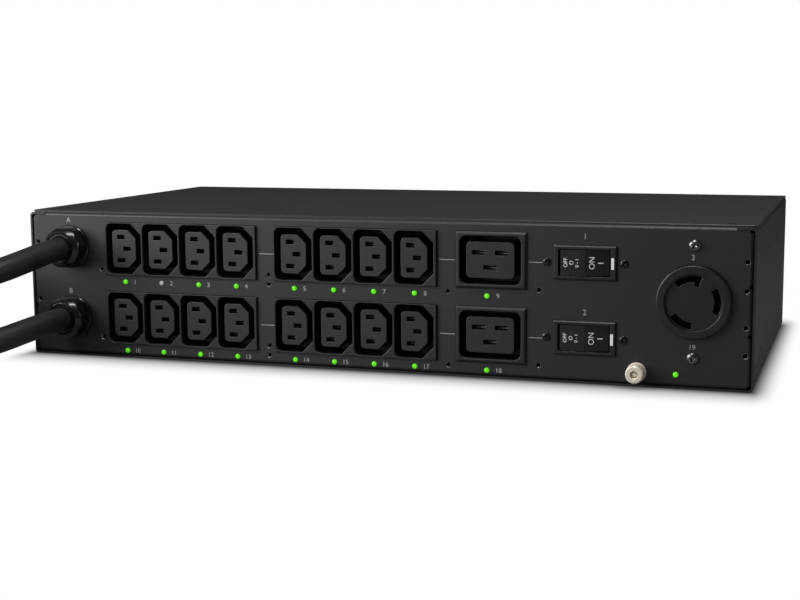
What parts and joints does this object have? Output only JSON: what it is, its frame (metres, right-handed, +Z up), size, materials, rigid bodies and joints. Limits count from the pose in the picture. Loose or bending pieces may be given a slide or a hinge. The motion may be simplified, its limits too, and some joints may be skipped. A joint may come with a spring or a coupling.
{
  "type": "rack static transfer switch",
  "caption": "Rack static transfer switch in a flat steel box, with cabled inputs, rows of outlets, rocker breakers and a locking receptacle on the outlet side.",
  "frame": {"origin": "middle of the underside of the base", "axes": "+X to the right of the outlet side, +Y from the outlet side to the display side, +Z up"},
  "size_m": [0.667, 0.3916, 0.1042],
  "materials": {
    "powder_black": "fine-textured black powder coat",
    "screw_black": "black oxide",
    "moulded_black": "satin moulded thermoplastic",
    "nylon_black": "smooth moulded nylon",
    "key_grey": "satin moulded",
    "contact_brass": "stamped",
    "lens_green": "clear tinted lens, lit",
    "lens_grey": "clear lens, unlit",
    "plated_steel": "zinc plated",
    "nickel": "satin nickel",
    "board_green": "solder mask",
    "insulator": "translucent sheet",
    "sink_aluminium": "as extruded",
    "core_steel": "varnished laminations",
    "winding_tape": "wound with yellow tape",
    "window_clear": "tinted clear sheet",
    "lead_rubber": "matt jacket"
  },
  "bodies": {
    "enclosure": {"chassis_tray": "powder_black", "lid": "powder_black", "outlet_panel": "powder_black", "front_panel": "powder_black", "lid_screws": "screw_black", "side_screws": "screw_black", "breaker_screws": "screw_black", "c13_module_1": "moulded_black", "c13_module_2": "moulded_black", "c13_module_3": "moulded_black", "c13_module_4": "moulded_black", "c19_module_1": "moulded_black", "c19_module_2": "moulded_black", "locking_receptacle": "moulded_black", "breaker_1_body": "moulded_black", "breaker_2_body": "moulded_black", "outlet_relays": "moulded_black", "current_sensors": "moulded_black", "thyristors": "moulded_black", "network_jack": "moulded_black", "input_terminals": "moulded_black", "gland_bodies": "nylon_black", "gland_nuts": "nylon_black", "gland_locknuts": "nylon_black", "plug_a_shell": "nylon_black", "plug_b_shell": "nylon_black", "lead_ties": "nylon_black", "plug_a_face": "key_grey", "plug_b_face": "key_grey", "outlet_contacts": "contact_brass", "receptacle_contacts": "contact_brass", "plug_a_blades": "contact_brass", "plug_b_blades": "contact_brass", "lamps_lit": "lens_green", "lamp_unlit": "lens_grey", "receptacle_screws": "plated_steel", "receptacle_strap": "plated_steel", "board_spacers": "plated_steel", "ground_terminal": "nickel", "ground_washer": "nickel", "outlet_board": "board_green", "power_board": "board_green", "control_board": "board_green", "lamp_strips": "board_green", "display_module": "board_green", "insulating_sheet": "insulator", "heat_sink": "sink_aluminium", "transformer_core": "core_steel", "transformer_coil": "winding_tape", "display_window": "window_clear", "lead_a_tube": "lead_rubber", "lead_b_tube": "lead_rubber", "lead_a_tail": "lead_rubber", "lead_b_tail": "lead_rubber", "lead_a_coil": "lead_rubber", "lead_b_coil": "lead_rubber"},
    "breaker_1_rocker": {"breaker_1_rocker": "moulded_black"},
    "breaker_2_rocker": {"breaker_2_rocker": "moulded_black"},
    "key_left": {"key_left": "key_grey"},
    "key_right": {"key_right": "key_grey"}
  },
  "joints": [
    {"name": "breaker_1_throw", "type": "hinge", "parent": "enclosure", "child": "breaker_1_rocker", "pos_m": [0.1262, -0.115, 0.0661], "axis": [0, 0, 1], "range_deg": [-12, 0]},
    {"name": "breaker_2_throw", "type": "hinge", "parent": "enclosure", "child": "breaker_2_rocker", "pos_m": [0.1262, -0.115, 0.025], "axis": [0, 0, 1], "range_deg": [-12, 0]},
    {"name": "key_left_press", "type": "slide", "parent": "enclosure", "child": "key_left", "axis": [0, -1, 0], "range_m": [0, 0.0005], "stiffness_N_per_m": 600},
    {"name": "key_right_press", "type": "slide", "parent": "enclosure", "child": "key_right", "axis": [0, -1, 0], "range_m": [0, 0.0005], "stiffness_N_per_m": 600}
  ]
}
